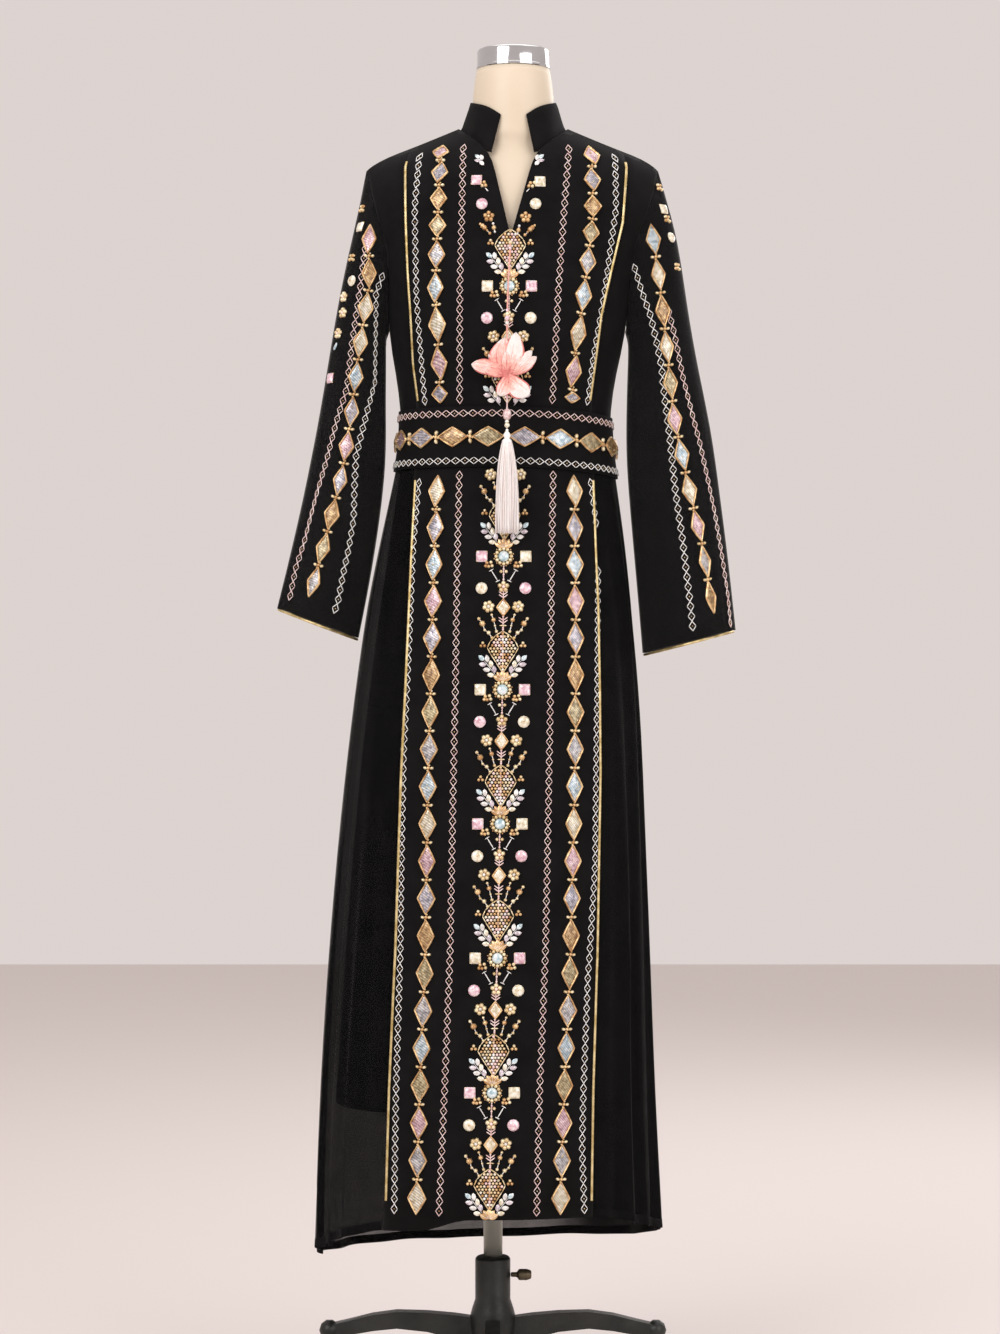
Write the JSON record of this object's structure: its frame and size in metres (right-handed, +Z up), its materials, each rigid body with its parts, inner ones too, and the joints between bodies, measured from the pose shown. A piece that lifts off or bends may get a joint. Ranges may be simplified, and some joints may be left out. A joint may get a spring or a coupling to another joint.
{
  "type": "abaya on a dress form",
  "caption": "Long black embroidered abaya with bell sleeves, stand collar, belt and tassel pendant, on a limbless dress form with a metal stand",
  "frame": {"origin": "on the floor, under the middle of the whole object's box", "axes": "+Z up, -Y the front of the garment, +X the viewer's right when facing its front"},
  "size_m": [0.5678, 0.4366, 1.6984],
  "materials": {
    "faced_cloth": "matt black crepe on a black backing",
    "chiffon": "sheer matt black chiffon",
    "lining": "smooth black lining",
    "gold_piping": "fine gold metal thread braid",
    "bead_work": "gold beads and pearly sequins, sewn on",
    "form_skin": "smooth ivory, slightly satin",
    "bright_metal": "polished",
    "pole_metal": "dull tube",
    "iron": "dark, lightly worn",
    "blush_silk": "satin stitch in pink silk",
    "tassel_silk": "glossy pale pink silk threads"
  },
  "bodies": {
    "root": {"bodice_front": "faced_cloth", "bodice_side_left": "chiffon", "bodice_side_right": "chiffon", "bodice_back": "chiffon", "skirt_front": "faced_cloth", "skirt_side_left": "chiffon", "skirt_side_right": "chiffon", "skirt_back": "chiffon", "skirt_lining": "lining", "belt": "faced_cloth", "sleeve_left": "chiffon", "sleeve_right": "chiffon", "collar": "faced_cloth", "form_torso": "form_skin", "neck_cap": "bright_metal", "pole": "pole_metal", "hub": "iron", "thumb_screw": "iron", "leg_right": "iron", "leg_back": "iron", "leg_left": "iron", "leg_front": "iron", "bodice_diamonds_left": "bead_work", "skirt_diamonds_left": "bead_work", "bodice_diamonds_right": "bead_work", "skirt_diamonds_right": "bead_work", "sleeve_diamonds_left": "bead_work", "sleeve_diamonds_right": "bead_work", "skirt_ornament": "bead_work", "bodice_ornament": "bead_work", "bodice_piping_left": "gold_piping", "skirt_piping_left": "gold_piping", "bodice_piping_right": "gold_piping", "skirt_piping_right": "gold_piping", "cuff_piping_left": "gold_piping", "cuff_piping_right": "gold_piping", "belt_diamonds": "bead_work", "lotus": "blush_silk", "pendant_thread": "blush_silk", "pendant_beads": "blush_silk", "tassel": "tassel_silk"}
  },
  "joints": []
}
